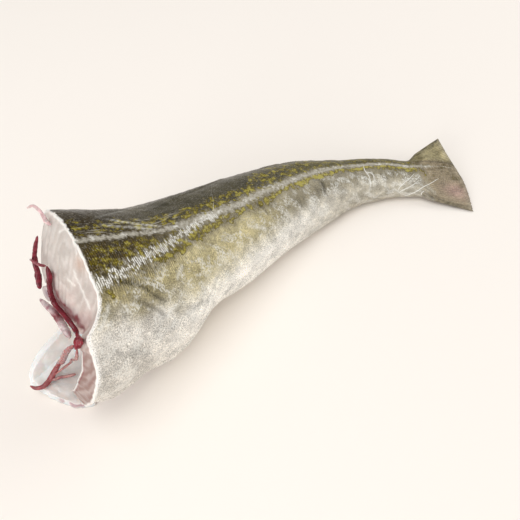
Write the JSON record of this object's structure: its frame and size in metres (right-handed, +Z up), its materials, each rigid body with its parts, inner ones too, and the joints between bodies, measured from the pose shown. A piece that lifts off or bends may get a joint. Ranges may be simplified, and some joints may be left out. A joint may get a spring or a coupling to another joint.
{
  "type": "headless cod",
  "caption": "Raw gutted cod without its head, skin and tail fin on, belly slit open at the cut end, lying twisted from its belly flaps onto its right side.",
  "frame": {"origin": "middle of the fish's footprint, on the surface that it lies on", "axes": "+X from the cut end to the tail, +Z up, the belly slit and left flank towards -Y"},
  "size_m": [0.539, 0.1748, 0.1741],
  "materials": {
    "fish_body": "wet skin, olive back to white belly, pale flesh at the cut",
    "backbone": "satin",
    "gut_tissue": "wet gloss",
    "blood": "wet gloss",
    "pale_tissue": "wet gloss"
  },
  "bodies": {
    "root": {"body": "fish_body", "backbone": "backbone", "gut_strand": "gut_tissue", "gut_thread": "gut_tissue", "gut_stub": "gut_tissue", "blood_vessel": "blood", "blood_strand": "blood", "blood_branch": "blood", "blood_clot": "blood", "gullet": "pale_tissue", "nape_shred": "pale_tissue"}
  },
  "joints": []
}
